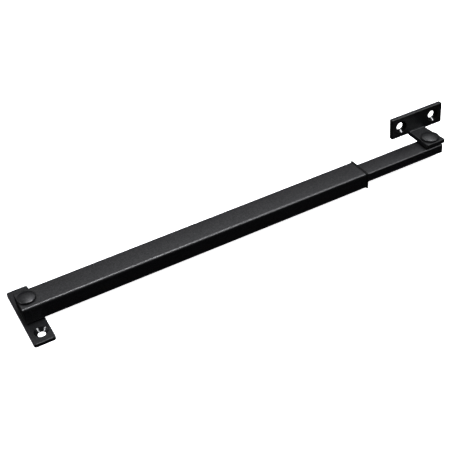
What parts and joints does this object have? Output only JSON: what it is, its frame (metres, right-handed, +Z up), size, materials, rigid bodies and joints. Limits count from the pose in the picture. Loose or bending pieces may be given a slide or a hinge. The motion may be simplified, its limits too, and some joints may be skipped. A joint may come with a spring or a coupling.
{
  "type": "telescopic door stay",
  "caption": "Telescopic friction stay: a flat sill plate, a turning outer tube, a sliding inner bar and a swivelling angle bracket that screws to the sash.",
  "frame": {"origin": "sill pivot's axis at the underside of the sill plate, which is the middle of its two screw holes", "axes": "+X along the arm from the sill pivot to the sash pivot, +Y towards the back of the upright sash plate, +Z up out of the sill plate"},
  "size_m": [0.34, 0.0576, 0.0316],
  "materials": {
    "black_powder_coat": "satin black powder coat",
    "bright_steel": "zinc plated, satin",
    "black_nylon": "moulded black nylon",
    "brake_rubber": "ground friction pad"
  },
  "bodies": {
    "sill_mount": {"sill_plate": "black_powder_coat", "sill_pivot_rivet": "black_powder_coat", "sill_friction_washer": "black_nylon", "sill_head_washer": "black_powder_coat"},
    "outer_arm": {"outer_tube": "black_powder_coat", "tube_end_plug": "black_nylon", "sill_spacer_sleeve": "bright_steel", "guide_bush": "black_nylon"},
    "inner_arm": {"inner_bar": "black_powder_coat", "bar_end_plug": "black_nylon", "friction_shoe": "black_nylon", "brake_pad": "brake_rubber", "leaf_spring": "bright_steel", "shoe_pin": "bright_steel", "sash_pivot_rivet": "black_powder_coat", "sash_spacer_sleeve": "bright_steel", "sash_friction_washer": "black_nylon", "sash_head_washer": "black_powder_coat", "sash_tail_washer": "black_powder_coat"},
    "sash_mount": {"sash_bracket": "black_powder_coat"}
  },
  "joints": [
    {"name": "sill_pivot", "type": "hinge", "parent": "sill_mount", "child": "outer_arm", "pos_m": [0, 0, 0.00905], "axis": [0, 0, 1], "range_deg": [-90, 90]},
    {"name": "arm_slide", "type": "slide", "parent": "outer_arm", "child": "inner_arm", "axis": [1, 0, 0], "range_m": [-0.032, 0.1585]},
    {"name": "sash_pivot", "type": "hinge", "parent": "inner_arm", "child": "sash_mount", "pos_m": [0.31, 0, 0.0152], "axis": [0, 0, 1], "range_deg": [-180, 180]}
  ]
}
